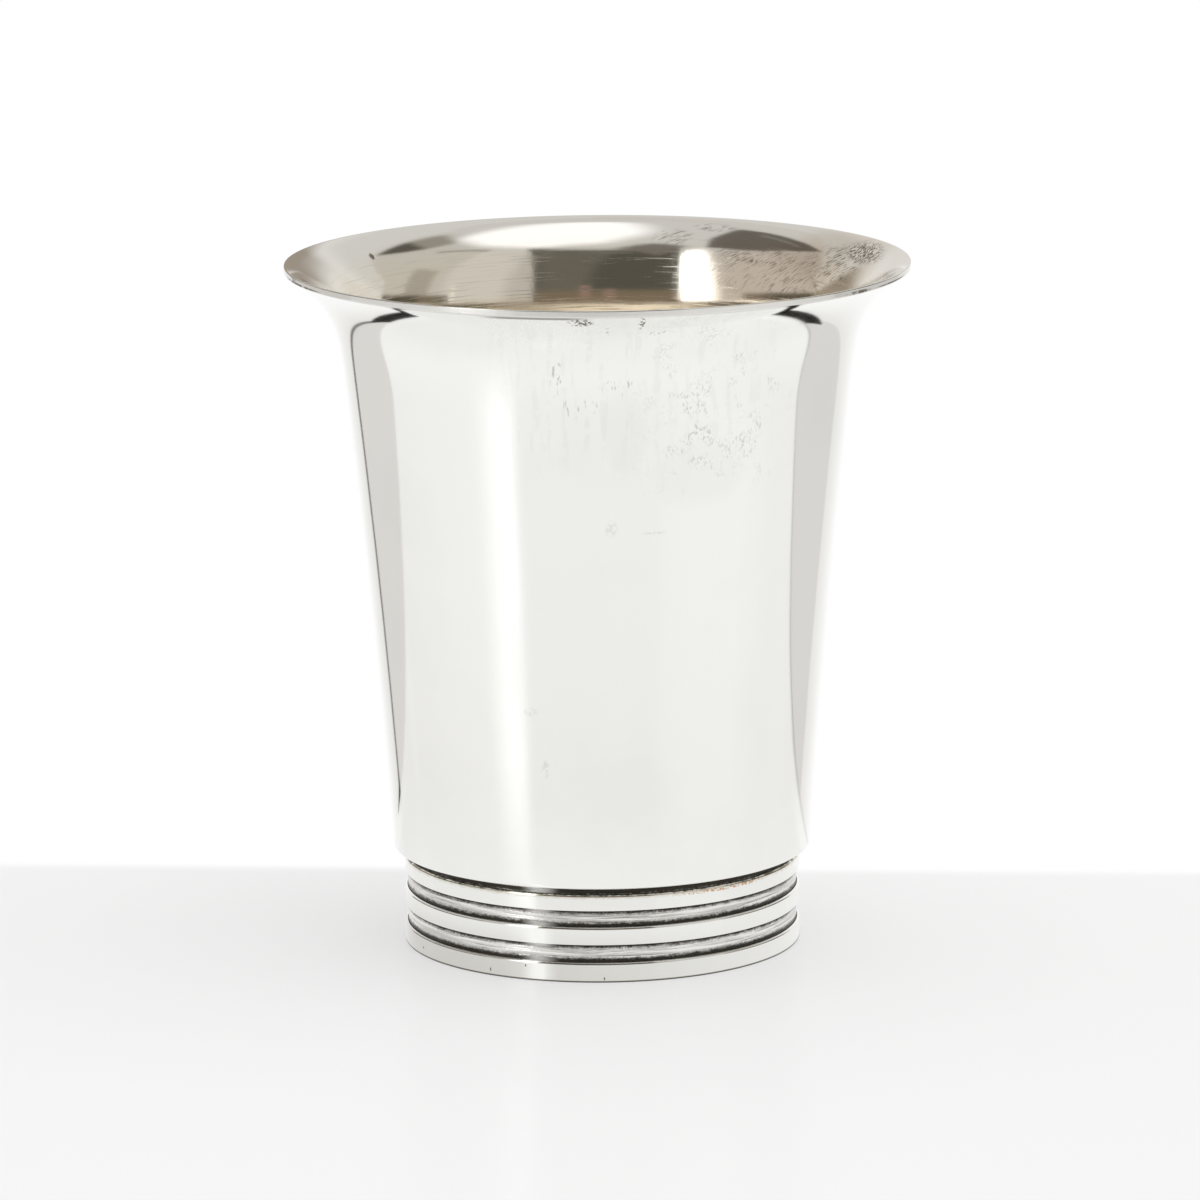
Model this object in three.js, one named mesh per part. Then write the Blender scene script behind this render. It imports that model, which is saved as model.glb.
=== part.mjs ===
// Silver beaker: a body of sheet silver with a flared lip, on a foot of flat bands soldered round a collar.
// Millimetres, +Z up. The origin is the centre of the foot, on the surface that the beaker stands on.

import * as THREE from 'three';

// Body
const totalHeight = 100;
const bodyFootRadius = 30.4; // outside of the wall at its lower edge
const wallTopRadius = 38.5; // outside of the wall at the lip, if it only tapered
const wallHollow = 0.6; // how far the wall bends inwards halfway up
const lipReach = 6.85; // how far the lip flares out past the taper
const lipAngle = THREE.MathUtils.degToRad(60); // lean of the lip from upright, at its edge
const flareHeight = 19;
const sheetThickness = 0.9;
const lipEdgeRound = 0.25;
const bodyEdgeRound = 0.5;
const floorCornerRound = 2.5;

// Foot, from the body down to the table
const bodyOverhang = 1.5; // how far the body's lower edge stands out past the bands
const neckHeight = 1.1;
const upperBandHeight = 2.4;
const upperGrooveHeight = 2.4;
const middleBandHeight = 2.6;
const lowerGrooveHeight = 2.6;
const baseBandHeight = 2.9;
const bandThickness = 0.35; // radial, so it is also the depth of the grooves
const bandEdgeRound = 0.15;
const collarThickness = 1.2;
const solderGap = 0.05; // clearance in every soldered seat
const filletLeg = 0.9;

// Fineness of the curves
const roundSegments = 72;
const wallSteps = 7;
const flareSteps = 12;
const cornerSteps = 3;
const filletSteps = 4;
const cornerShare = 0.45; // the most of a side that one rounded corner may take up

// Heights of the foot's pieces above the table
const middleBandBottom = baseBandHeight + lowerGrooveHeight;
const upperBandBottom = middleBandBottom + middleBandHeight + upperGrooveHeight;
const footHeight = upperBandBottom + upperBandHeight + neckHeight;

// Radii of the foot's pieces, from the outside inwards
const bandOuterRadius = bodyFootRadius - bodyOverhang;
const bandInnerRadius = bandOuterRadius - bandThickness;
const collarOuterRadius = bandInnerRadius - solderGap;
const collarInnerRadius = collarOuterRadius - collarThickness;
const collarHeight = footHeight - solderGap;

// The wall's outer curve, measured from the underside of the floor up to the lower corner of the lip's edge.
// The edge is cut square to the sheet, and its rounded upper corner is the top of the beaker.
const bodyHeight = totalHeight - footHeight;
const cornerLoss = lipEdgeRound * (Math.sin(lipAngle) + Math.cos(lipAngle) - 1);
const lipUnderside = bodyHeight - sheetThickness * Math.sin(lipAngle) + cornerLoss;
const flareStart = lipUnderside - flareHeight;
const taperSlope = (wallTopRadius - bodyFootRadius) / lipUnderside;
const hollowSlope = 4 * wallHollow / lipUnderside;
const flarePower = (Math.tan(lipAngle) - taperSlope - hollowSlope) * flareHeight / lipReach;

const polishedSilver = { color: 0xe2dfd9, roughness: 0.1, metalness: 1 };
const grooveSilver = { color: 0x8d857b, roughness: 0.35, metalness: 1 };
const solderSilver = { color: 0xc9bda6, roughness: 0.3, metalness: 1 };

const point = (radius, height) => new THREE.Vector2(radius, height);

/** How far up the flare a height lies: 0 at its start and below, 1 at the lip. */
const flareShare = (height) => Math.max(0, (height - flareStart) / flareHeight);

/** Outer radius of the wall at a height: a straight taper, bent in a little, with a flare near the lip. */
function wallRadius(height) {
  const rise = height / lipUnderside;
  const taper = bodyFootRadius + taperSlope * height;
  const hollow = 4 * wallHollow * rise * (1 - rise);
  return taper - hollow + lipReach * flareShare(height) ** flarePower;
}

/** How much the outer radius grows for each millimetre of height. */
function wallSlope(height) {
  const rise = height / lipUnderside;
  const flareSlope = lipReach * flarePower / flareHeight * flareShare(height) ** (flarePower - 1);
  return taperSlope - hollowSlope * (1 - 2 * rise) + flareSlope;
}

/** The point of the wall's inner face that lies square across the sheet from the outer face at a height. */
function innerWallPoint(height) {
  const lean = Math.atan(wallSlope(height));
  const radius = wallRadius(height) - sheetThickness * Math.cos(lean);
  return point(radius, height + sheetThickness * Math.sin(lean));
}

/** An arc for one corner of an outline, made smaller where a side beside it is too short. */
function roundCorner(before, corner, after, radius) {
  const toBefore = before.clone().sub(corner);
  const toAfter = after.clone().sub(corner);
  const longestReach = cornerShare * Math.min(toBefore.length(), toAfter.length());
  toBefore.normalize();
  toAfter.normalize();
  const halfAngle = Math.acos(toBefore.dot(toAfter)) / 2;
  const reach = Math.min(radius / Math.tan(halfAngle), longestReach);
  const arcRadius = reach * Math.tan(halfAngle);
  const towardsCentre = toBefore.clone().add(toAfter).normalize();
  const centre = corner.clone().addScaledVector(towardsCentre, arcRadius / Math.sin(halfAngle));
  const start = corner.clone().addScaledVector(toBefore, reach).sub(centre);
  const turn = Math.PI - 2 * halfAngle;
  const sense = -Math.sign(toBefore.cross(toAfter));
  const arc = [];
  for (let step = 0; step <= cornerSteps; step += 1) {
    arc.push(start.clone().rotateAround(point(0, 0), sense * turn * step / cornerSteps).add(centre));
  }
  return arc;
}

/** Heights in even steps from one level to just short of another. */
function levelsFrom(start, end, steps) {
  return Array.from({ length: steps }, (_, step) => start + (end - start) * step / steps);
}

/** Outline of the body: underside, outer wall, edge of the lip, inner wall and the floor's upper face. */
function bodyOutline() {
  const [, ...taperLevels] = levelsFrom(0, flareStart, wallSteps);
  const levels = [...taperLevels, ...levelsFrom(flareStart, lipUnderside, flareSteps)];
  const outerWall = levels.map((level) => point(wallRadius(level), level));
  const innerWall = levels.map(innerWallPoint).reverse();
  const undersideCentre = point(0, 0);
  const lowerEdge = point(bodyFootRadius, 0);
  const lipLowerCorner = point(wallRadius(lipUnderside), lipUnderside);
  const lipUpperCorner = innerWallPoint(lipUnderside);
  const floorCentre = point(0, sheetThickness);
  const floorCorner = point(innerWallPoint(sheetThickness).x, sheetThickness);
  return [
    undersideCentre,
    ...roundCorner(undersideCentre, lowerEdge, outerWall[0], bodyEdgeRound),
    ...outerWall,
    ...roundCorner(outerWall.at(-1), lipLowerCorner, lipUpperCorner, lipEdgeRound),
    ...roundCorner(lipLowerCorner, lipUpperCorner, innerWall[0], lipEdgeRound),
    ...innerWall,
    ...roundCorner(innerWall.at(-1), floorCorner, floorCentre, floorCornerRound),
    floorCentre,
  ];
}

/** Outline of a flat band that stands on its lower face, with its two outer edges rounded. */
function bandOutline(height) {
  const innerLower = point(bandInnerRadius, 0);
  const outerLower = point(bandOuterRadius, 0);
  const outerUpper = point(bandOuterRadius, height);
  const innerUpper = point(bandInnerRadius, height);
  return [
    innerLower,
    ...roundCorner(innerLower, outerLower, outerUpper, bandEdgeRound),
    ...roundCorner(outerLower, outerUpper, innerUpper, bandEdgeRound),
    innerUpper,
    innerLower,
  ];
}

/** Outline of the plain tube that carries the bands. */
function collarOutline() {
  return [
    point(collarInnerRadius, 0),
    point(collarOuterRadius, 0),
    point(collarOuterRadius, collarHeight),
    point(collarInnerRadius, collarHeight),
    point(collarInnerRadius, 0),
  ];
}

/** Outline of the hollow-faced bead of solder inside the collar, measured down from the floor's underside. */
function filletOutline() {
  const outerRadius = collarInnerRadius - solderGap;
  const innerRadius = outerRadius - filletLeg;
  const top = -solderGap;
  const face = [];
  for (let step = 0; step <= filletSteps; step += 1) {
    const angle = Math.PI / 2 * step / filletSteps;
    face.push(point(innerRadius + filletLeg * Math.sin(angle), top - filletLeg * (1 - Math.cos(angle))));
  }
  return [...face, point(outerRadius, top), face[0]];
}

/** A piece turned about the beaker's axis from its outline, with a finish of its own. */
function turnedPiece(name, outline, finish) {
  const geometry = new THREE.LatheGeometry(outline, roundSegments).rotateX(Math.PI / 2);
  const piece = new THREE.Mesh(geometry, new THREE.MeshStandardMaterial(finish));
  piece.name = name;
  return piece;
}

const foot = new THREE.Group();
foot.add(turnedPiece('foot_collar', collarOutline(), grooveSilver));
for (const [name, bottom, height] of [
  ['upper_band', upperBandBottom, upperBandHeight],
  ['middle_band', middleBandBottom, middleBandHeight],
  ['base_band', 0, baseBandHeight],
]) {
  const band = turnedPiece(name, bandOutline(height), polishedSilver);
  band.position.z = bottom;
  foot.add(band);
}

const body = new THREE.Group();
body.position.z = footHeight;
body.add(turnedPiece('body_shell', bodyOutline(), polishedSilver));
body.add(turnedPiece('solder_fillet', filletOutline(), solderSilver));

const beaker = new THREE.Group();
beaker.add(foot, body);

export default beaker;
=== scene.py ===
"""A silver beaker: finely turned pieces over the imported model, worn silver finishes and a small studio.

Metres, +Z up. The beaker stands on the origin, and the camera looks along +Y.
"""

import logging
import math
from dataclasses import dataclass, field
from enum import Enum
from functools import reduce
from typing import Any

import bpy
from bpy.types import Material, Object
from mathutils import Matrix, Vector


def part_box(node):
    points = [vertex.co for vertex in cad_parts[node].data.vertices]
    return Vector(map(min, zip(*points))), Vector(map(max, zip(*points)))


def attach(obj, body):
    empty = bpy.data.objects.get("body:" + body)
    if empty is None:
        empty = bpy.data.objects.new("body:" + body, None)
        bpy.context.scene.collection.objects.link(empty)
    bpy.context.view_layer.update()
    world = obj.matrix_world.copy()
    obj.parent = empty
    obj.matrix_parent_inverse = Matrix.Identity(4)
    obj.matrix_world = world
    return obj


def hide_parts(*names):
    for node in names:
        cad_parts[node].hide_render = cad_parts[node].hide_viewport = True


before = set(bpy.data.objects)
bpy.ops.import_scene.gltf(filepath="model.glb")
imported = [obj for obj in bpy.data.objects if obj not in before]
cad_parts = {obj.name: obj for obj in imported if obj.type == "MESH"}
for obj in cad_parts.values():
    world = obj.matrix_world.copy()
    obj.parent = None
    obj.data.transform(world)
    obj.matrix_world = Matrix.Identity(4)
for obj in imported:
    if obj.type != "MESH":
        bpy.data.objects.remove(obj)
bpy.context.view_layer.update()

MM = 0.001
log = logging.getLogger("beaker")

# A span is the two ends of a soft step. A window is the two ends of a stretch, and how soft they are.
Triple = tuple[float, float, float]
Colour = Triple
Window = Triple
Span = tuple[float, float]
Number = "Wire | float"

WHITE: Colour = (1.0, 1.0, 1.0)


class Node(Enum):
    """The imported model's nodes, which the finely turned pieces stand for."""

    BODY = "body_shell"
    COLLAR = "foot_collar"
    UPPER_BAND = "upper_band"
    MIDDLE_BAND = "middle_band"
    BASE_BAND = "base_band"
    FILLET = "solder_fillet"


class Slot(Enum):
    """The record's material slots."""

    BODY = "body_silver"
    BAND = "band_silver"
    COLLAR = "collar_silver"
    SOLDER = "solder"


@dataclass(frozen=True)
class Wire:
    """One output of a node. Arithmetic on wires adds Math nodes to the sheet that the node is on."""

    sheet: "NodeSheet"
    socket: bpy.types.NodeSocket

    def output(self, name: str) -> "Wire":
        """Another output of the same node."""
        return Wire(self.sheet, self.socket.node.outputs[name])

    def __add__(self, other: Number) -> "Wire":
        """This value plus another."""
        return self.sheet.math("ADD", self, other)

    def __radd__(self, other: Number) -> "Wire":
        """A number plus this value."""
        return self.sheet.math("ADD", other, self)

    def __sub__(self, other: Number) -> "Wire":
        """This value less another."""
        return self.sheet.math("SUBTRACT", self, other)

    def __rsub__(self, other: Number) -> "Wire":
        """A number less this value."""
        return self.sheet.math("SUBTRACT", other, self)

    def __mul__(self, other: Number) -> "Wire":
        """This value times another."""
        return self.sheet.math("MULTIPLY", self, other)

    def __rmul__(self, other: Number) -> "Wire":
        """A number times this value."""
        return self.sheet.math("MULTIPLY", other, self)

    def __truediv__(self, other: Number) -> "Wire":
        """This value over another."""
        return self.sheet.math("DIVIDE", self, other)

    def __rtruediv__(self, other: Number) -> "Wire":
        """A number over this value."""
        return self.sheet.math("DIVIDE", other, self)

    def __neg__(self) -> "Wire":
        """This value with its sign turned."""
        return self.sheet.math("MULTIPLY", self, -1.0)

    def __abs__(self) -> "Wire":
        """This value without its sign."""
        return self.sheet.math("ABSOLUTE", self)

    def smooth(self, low: float, high: float) -> "Wire":
        """A soft step of this value: 0 at low, 1 at high, whichever of the two is larger."""
        sockets = {"Value": self, "From Min": low, "From Max": high}
        return self.sheet.wire("ShaderNodeMapRange", {"interpolation_type": "SMOOTHSTEP"}, sockets)

    def window(self, low: float, high: float, soft: float) -> "Wire":
        """1 where this value is between low and high, with soft ends."""
        return self.smooth(low - soft, low + soft) * self.smooth(high + soft, high - soft)


class NodeSheet:
    """A node tree that is being written, in the order in which its nodes feed each other."""

    def __init__(self, tree: bpy.types.NodeTree) -> None:
        """Start on a tree, which is emptied first."""
        self.tree = tree
        tree.nodes.clear()

    def node(self, kind: str, settings: dict[str, Any] | None = None,
             sockets: dict[str | int, Any] | None = None) -> bpy.types.Node:
        """Add a node.

        Args:
            kind: Blender's name for the type of node.
            settings: the node's own properties, which are set before its sockets.
            sockets: a value or a wire for each input, by its name or its place.

        Returns:
            The new node.
        """
        made = self.tree.nodes.new(kind)
        for name, setting in (settings or {}).items():
            setattr(made, name, setting)
        for key, value in (sockets or {}).items():
            if isinstance(value, Wire):
                self.tree.links.new(value.socket, made.inputs[key])
            else:
                made.inputs[key].default_value = value
        return made

    def wire(self, kind: str, settings: dict[str, Any] | None = None,
             sockets: dict[str | int, Any] | None = None, output: int = 0) -> Wire:
        """Add a node and take one of its outputs, counted from 0."""
        return Wire(self, self.node(kind, settings, sockets).outputs[output])

    def math(self, operation: str, *values: Number) -> Wire:
        """Add a Math node."""
        return self.wire("ShaderNodeMath", {"operation": operation}, dict(enumerate(values)))

    def degrees(self, operation: str, *values: Number) -> Wire:
        """Add a Math node that gives an angle, and turn it into degrees."""
        return self.math(operation, *values) * math.degrees(1)

    def vector(self, operation: str, *values: Any) -> Wire:
        """Add a Vector Math node."""
        return self.wire("ShaderNodeVectorMath", {"operation": operation}, dict(enumerate(values)))

    def coordinates(self, kind: str) -> Wire:
        """The place at hand, in one of Blender's kinds of coordinates."""
        return self.wire("ShaderNodeTexCoord").output(kind)

    def axes(self, vector: Wire) -> tuple[Wire, Wire, Wire]:
        """The three numbers of a vector."""
        x = self.wire("ShaderNodeSeparateXYZ", {}, {0: vector})
        return x, x.output("Y"), x.output("Z")

    def most(self, *values: Wire) -> Wire:
        """The largest of several values."""
        return reduce(lambda one, other: self.math("MAXIMUM", one, other), values)

    def blend(self, share: Number, plain: Wire | Colour, other: Wire | Colour) -> Wire:
        """Mix two colours.

        Args:
            share: how much of the other colour shows, from 0 to 1.
            plain: the colour at 0.
            other: the colour at 1.

        Returns:
            The mixed colour.
        """
        ends = [end if isinstance(end, Wire) else (*end, 1.0) for end in (plain, other)]
        sockets = {0: share, 6: ends[0], 7: ends[1]}
        return self.wire("ShaderNodeMix", {"data_type": "RGBA"}, sockets, output=2)

    def coats(self, plain: Wire | Colour, *layers: tuple[Number, Wire | Colour]) -> Wire:
        """Mix colours over a plain one in order, each by its share."""
        return reduce(lambda under, layer: self.blend(layer[0], under, layer[1]), layers, plain)


class MaterialSheet(NodeSheet):
    """A material that is being written."""

    def __init__(self, name: str) -> None:
        """Start a material of this name."""
        self.material = bpy.data.materials.new(name)
        self.material.use_nodes = True
        super().__init__(self.material.node_tree)

    def glow(self, tone: Wire | tuple[float, ...]) -> Wire:
        """A surface that shows the same tone under any light."""
        return self.wire("ShaderNodeEmission", {}, {"Color": tone, "Strength": 1.0})

    def close(self, surface: Wire) -> Material:
        """End the material in a surface."""
        self.node("ShaderNodeOutputMaterial", {}, {"Surface": surface})
        return self.material


@dataclass(frozen=True)
class Mark:
    """The place and half the size of one small mark, such as a dent or a scuff.

    The angle is in degrees round the beaker: 0 at the front, 90 at the right. Lengths are in millimetres.
    """

    angle: float
    height: float
    width: float
    tall: float


Marks = tuple[Mark, ...]


class SilverSheet(MaterialSheet):
    """A silver material that is being written, with the patterns of wear that its finishes share.

    Sizes are in millimetres. Angles are in degrees round the beaker: 0 at the front, 90 at the right.
    """

    def __init__(self, slot: Slot) -> None:
        """Start the material of a slot, with its places on the piece at hand."""
        super().__init__(slot.value)
        self.place = self.vector("MULTIPLY", self.coordinates("Object"), (1 / MM, 1 / MM, 1 / MM))
        x, y, self.height = self.axes(self.place)
        self.radius = self.math("SQRT", x * x + y * y)
        self.angle = self.degrees("ARCTAN2", x, -y)
        around = self.angle * self.radius * math.radians(1)
        self.wall = self.wire("ShaderNodeCombineXYZ", {}, {0: around, 1: self.height})

    def facing_in(self) -> Wire:
        """Tell the inside of a cup or tube from its outside.

        Returns:
            1 on the faces that look towards the axis or up, and 0 on the others.
        """
        normal = self.wire("ShaderNodeNewGeometry").output("Normal")
        outwards = self.vector("NORMALIZE", self.vector("MULTIPLY", self.place, (1.0, 1.0, 0.0)))
        lean = self.vector("DOT_PRODUCT", normal, outwards).output("Value")
        _, _, rise = self.axes(normal)
        return (0.3 * rise - lean).smooth(-0.1, 0.1)

    def noise(self, size: float, detail: float = 2.0, stretch: Triple = (1.0, 1.0, 1.0),
              roughness: float = 0.5, shift: float = 0.0) -> Wire:
        """Soft random values.

        Args:
            size: about how far apart the light and dark places are.
            detail: how many finer layers are added.
            stretch: how much closer the pattern lies along each axis.
            roughness: how strong the finer layers are.
            shift: moves the pattern, so that two of the same size differ.

        Returns:
            Values from 0 to 1, mostly near 0.5.
        """
        scaled = tuple(share / size for share in stretch)
        place = self.vector("MULTIPLY_ADD", self.place, scaled, (shift, shift, shift))
        sockets = {"Vector": place, "Scale": 1.0, "Detail": detail, "Roughness": roughness}
        return self.wire("ShaderNodeTexNoise", {}, sockets)

    def hairlines(self, spacing: float, length: float, shift: float) -> Wire:
        """Fine broken lines that run up the wall.

        Args:
            spacing: about how far apart they lie.
            length: about how long they are.
            shift: moves the pattern.

        Returns:
            1 on a line and 0 elsewhere.
        """
        closeness = (1 / spacing, 1 / length, 0.0)
        place = self.vector("MULTIPLY_ADD", self.wall, closeness, (shift, shift, shift))
        lines = self.wire("ShaderNodeTexNoise", {}, {"Vector": place, "Scale": 1.0, "Detail": 2.0})
        return lines.smooth(0.5, 0.62) * self.noise(1.6, 3.0, shift=shift).smooth(0.38, 0.54)

    def specks(self, spacing: float, radius: float, share: float) -> Wire:
        """Small round dots.

        Args:
            spacing: the size of the cells that may hold a dot each.
            radius: the size of a dot.
            share: how many of the cells hold one, from 0 to 1.

        Returns:
            1 on a dot and 0 elsewhere.
        """
        cells = self.wire("ShaderNodeTexVoronoi", {}, {"Vector": self.place, "Scale": 1 / spacing})
        chance = self.wire("ShaderNodeSeparateColor", {}, {0: cells.output("Color")})
        dots = cells.smooth(1.3 * radius / spacing, 0.6 * radius / spacing)
        return dots * chance.smooth(share, 0.9 * share)

    def marks(self, places: Marks) -> Wire:
        """Soft round spots.

        Args:
            places: where they are, and how large.

        Returns:
            1 in the middle of each spot, and 0 past its edge.
        """
        spots = []
        for mark in places:
            across = (self.angle - mark.angle) * self.radius * (math.radians(1) / mark.width)
            up = (self.height - mark.height) / mark.tall
            spots.append((across * across + up * up).smooth(1.0, 0.2))
        return self.most(*spots)

    def shade(self, colour: Wire, roughness: Wire, relief: Wire, depth: float) -> Material:
        """Finish the material.

        Args:
            colour: the colour of the metal.
            roughness: from 0, a mirror, to 1.
            relief: the height of the small marks in the surface, from 0 to 1.
            depth: how much height 1 stands for.

        Returns:
            The material.
        """
        bump = {"Strength": 1.0, "Distance": depth * MM, "Height": relief}
        normal = self.wire("ShaderNodeBump", {}, bump)
        return self.close(self.wire("ShaderNodeBsdfPrincipled", {}, {
            "Base Color": colour, "Metallic": 1.0, "Roughness": roughness, "Normal": normal}))


@dataclass(frozen=True)
class BodySilver:
    """Polished sheet silver: bright outside, yellowed inside, with stains, scuffs, a tarnished lip, a
    painted golden glint in the throat and painted shade in a dent and under the lip's front edge.

    Heights and radii are in millimetres, and angles in degrees.
    """

    outside: Colour = (0.96, 0.96, 0.935)
    hazed: Colour = (0.90, 0.905, 0.88)
    inside: Colour = (0.92, 0.875, 0.78)
    # The throat's golden band is a painted glint, standing for reflections between the warm inner walls.
    painted_throat_glint: Colour = (0.95, 0.83, 0.66)
    depths: Colour = (0.93, 0.895, 0.82)
    lip: Colour = (0.915, 0.895, 0.85)
    edge: Colour = (0.80, 0.79, 0.755)
    brown: Colour = (0.60, 0.50, 0.38)
    tea: Colour = (0.93, 0.82, 0.67)
    stain: Colour = (0.40, 0.39, 0.37)
    # The tarnish colour also paints shade, in the dent and under the lip's front edge.
    tarnish: Colour = (0.11, 0.08, 0.055)
    polish: float = 0.06
    relief_depth: float = 0.03
    lip_fade: Span = (98.5, 94.0)
    painted_glint_fade: Span = (90.5, 87.5)
    depths_fade: Span = (86.0, 78.0)
    edge_fade: Span = (44.7, 45.0)
    edge_streak_fade: Span = (44.8, 45.0)
    # Where the painted shade under the lip's front edge lies.
    shade_under_edge_radii: Window = (44.3, 44.9, 0.15)
    shade_under_edge_angles: Window = (-20.0, -3.0, 3.0)
    fleck_angles: Window = (12.0, 44.0, 10.0)
    fleck_heights: Window = (74.0, 96.0, 6.0)
    wiping_angles: Window = (-22.0, 40.0, 8.0)
    wiping_heights: Window = (77.0, 97.0, 5.0)
    dulled_angles: Window = (-28.0, 8.0, 8.0)
    dulled_fade: Span = (92.5, 95.0)
    haze: Marks = (Mark(5.5, 81.0, 4.0, 7.5), Mark(24.0, 75.0, 9.0, 6.0))
    scuffs: Marks = (
        Mark(-9.2, 89.3, 1.4, 3.6), Mark(-4.2, 84.8, 3.4, 1.7), Mark(4.6, 87.7, 3.4, 1.5),
        Mark(12.5, 96.0, 2.4, 0.5), Mark(1.8, 96.3, 0.3, 1.4))
    smudges: Marks = (
        Mark(2.8, 67.2, 1.1, 1.4), Mark(12.9, 66.5, 2.2, 0.2), Mark(-14.5, 31.8, 0.8, 1.6),
        Mark(-17.9, 40.2, 1.2, 0.7))
    lip_spots: Marks = (Mark(-3.1, 98.1, 2.2, 0.9), Mark(8.1, 97.9, 0.6, 1.3))
    lip_crust: Marks = (Mark(111.5, 98.4, 7.5, 1.5),)
    lip_crackle: Marks = (
        Mark(118.0, 96.2, 9.0, 3.2), Mark(142.0, 95.5, 9.0, 1.4), Mark(164.0, 97.4, 4.0, 1.2),
        Mark(112.0, 98.4, 8.0, 1.7), Mark(155.5, 98.8, 4.0, 0.6))
    lip_brown: Marks = (Mark(118.0, 97.0, 16.0, 5.0),)
    wall_brown: Marks = (Mark(134.0, 91.5, 18.0, 7.5),)
    wall_crackle: Marks = (Mark(149.0, 93.5, 6.0, 4.0), Mark(130.0, 93.0, 9.0, 4.5))
    lip_edge: Marks = (
        Mark(54.5, 99.3, 3.8, 0.32), Mark(-70.0, 99.25, 9.0, 0.2), Mark(68.0, 99.25, 7.0, 0.15))
    lip_dent: Marks = (Mark(-125.6, 97.2, 0.65, 0.5),)

    def _worn(self, sheet: SilverSheet) -> Wire:
        """Grey flecks round wiped patches, scuffs, smudges and specks on the outside.

        Args:
            sheet: the material that is being written.

        Returns:
            How much of the grey shows, from 0 to 1.
        """
        stained = sheet.angle.window(*self.fleck_angles) * sheet.height.window(*self.fleck_heights)
        patch_edges = abs(sheet.noise(10.0, 5.0, roughness=0.6) - 0.52).smooth(0.07, 0.0)
        broken = sheet.noise(3.5, shift=4.0).smooth(0.42, 0.6)
        grain = sheet.noise(0.3, stretch=(1.0, 1.0, 0.5)).smooth(0.46, 0.66)
        flecks = stained * patch_edges * broken * grain
        lines = sheet.noise(0.4, 1.0, (1.0, 1.0, 0.22)).smooth(0.56, 0.7)
        scuffs = sheet.marks(self.scuffs) * lines
        wiping = sheet.hairlines(1.1, 9.0, shift=1.0) * sheet.height.window(*self.wiping_heights)
        wiping = wiping * sheet.angle.window(*self.wiping_angles)
        smudges = sheet.marks(self.smudges) * sheet.noise(0.5, 3.0, shift=2.0).smooth(0.4, 0.62)
        specks = sheet.specks(7.0, 0.17, 0.12)
        return sheet.most(0.5 * flecks, 0.6 * scuffs, 0.22 * smudges, 0.08 * wiping, 0.45 * specks)

    def _tarnished(self, sheet: SilverSheet, inside: Wire) -> Wire:
        """Brown tarnish on the lip: a crust and crackle inside, spots below it and streaks on its edge,
        and painted shade under its front edge.

        Args:
            sheet: the material that is being written.
            inside: 1 inside the cup and 0 outside.

        Returns:
            How much of the brown shows, from 0 to 1.
        """
        crooked = abs(sheet.noise(0.6, 3.0, (1.3, 1.3, 0.8)) - 0.5).smooth(0.18, 0.06)
        strokes = crooked * sheet.noise(0.42, 1.0, shift=5.0).smooth(0.44, 0.56)
        crust = sheet.marks(self.lip_crust) * strokes
        crackle = sheet.marks(self.lip_crackle) * sheet.hairlines(0.3, 0.8, shift=3.0)
        spots = sheet.marks(self.lip_spots) * sheet.noise(0.45, 3.0, shift=3.0).smooth(0.48, 0.57)
        # A dark line under the lip's front edge is painted shade.
        shade_under_edge = sheet.radius.window(*self.shade_under_edge_radii)
        shade_under_edge = shade_under_edge * sheet.angle.window(*self.shade_under_edge_angles)
        edge = sheet.radius.smooth(*self.edge_streak_fade) * sheet.marks(self.lip_edge)
        edge = edge * sheet.noise(1.5, 4.0, shift=9.0).smooth(0.36, 0.5)
        scratches = sheet.marks(self.wall_crackle) * sheet.hairlines(0.35, 1.3, shift=7.0)
        within = inside * sheet.most(0.95 * crust, 0.9 * crackle, 0.45 * scratches)
        return sheet.most(within, (1 - inside) * sheet.most(0.85 * spots, 0.65 * shade_under_edge), 0.8 * edge)

    def make(self) -> Material:
        """Write the material.

        Returns:
            The finished material.
        """
        sheet = SilverSheet(Slot.BODY)
        height = sheet.height
        inside = sheet.facing_in()
        clouds = sheet.noise(18.0, detail=4.0)
        haze = sheet.most(sheet.marks(self.haze), 0.6 * clouds.smooth(0.45, 0.65))
        deep = height.smooth(*self.lip_fade)
        brushed = sheet.noise(0.5, 4.0, (0.06, 0.06, 2.5))
        runs = sheet.noise(1.3, 3.0, (1.0, 1.0, 0.05)) * inside * deep
        worn = (1 - inside) * self._worn(sheet)
        tarnished = self._tarnished(sheet, inside)
        # The dent is a real hollow in the relief, and painted shade in the colour.
        dent = inside * sheet.marks(self.lip_dent)
        edge = sheet.radius.smooth(*self.edge_fade)

        outer = sheet.coats(self.outside, (0.6 * haze, self.hazed), (edge, self.edge))
        # The wall's golden band in the throat is a painted glint.
        wall = sheet.coats(
            self.inside, (height.smooth(*self.painted_glint_fade), self.painted_throat_glint),
            (height.smooth(*self.depths_fade), self.depths), (0.2 * brushed.smooth(0.5, 0.72), self.stain))
        inner = sheet.coats(
            sheet.blend(deep, self.lip, wall), (0.7 * sheet.marks(self.wall_brown), self.tea),
            (0.45 * sheet.marks(self.lip_brown), self.brown))
        colour = sheet.coats(
            sheet.blend(inside, outer, inner), (worn, self.stain),
            (sheet.most(tarnished, 0.85 * dent), self.tarnish))

        dulled = (1 - inside) * height.smooth(*self.dulled_fade) * sheet.angle.window(*self.dulled_angles)
        roughness = self.polish + 0.03 * clouds + 0.04 * runs
        roughness = roughness + 0.2 * inside * deep * brushed.smooth(0.55, 0.7)
        roughness = roughness + 0.2 * dulled + 0.05 * edge + 0.2 * worn + 0.3 * tarnished
        relief = sheet.noise(14.0, detail=1.0) + 0.25 * runs + 0.05 * inside * brushed
        relief = relief - 0.2 * worn - 4.0 * dent
        return sheet.shade(colour, roughness, relief, self.relief_depth)


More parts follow.
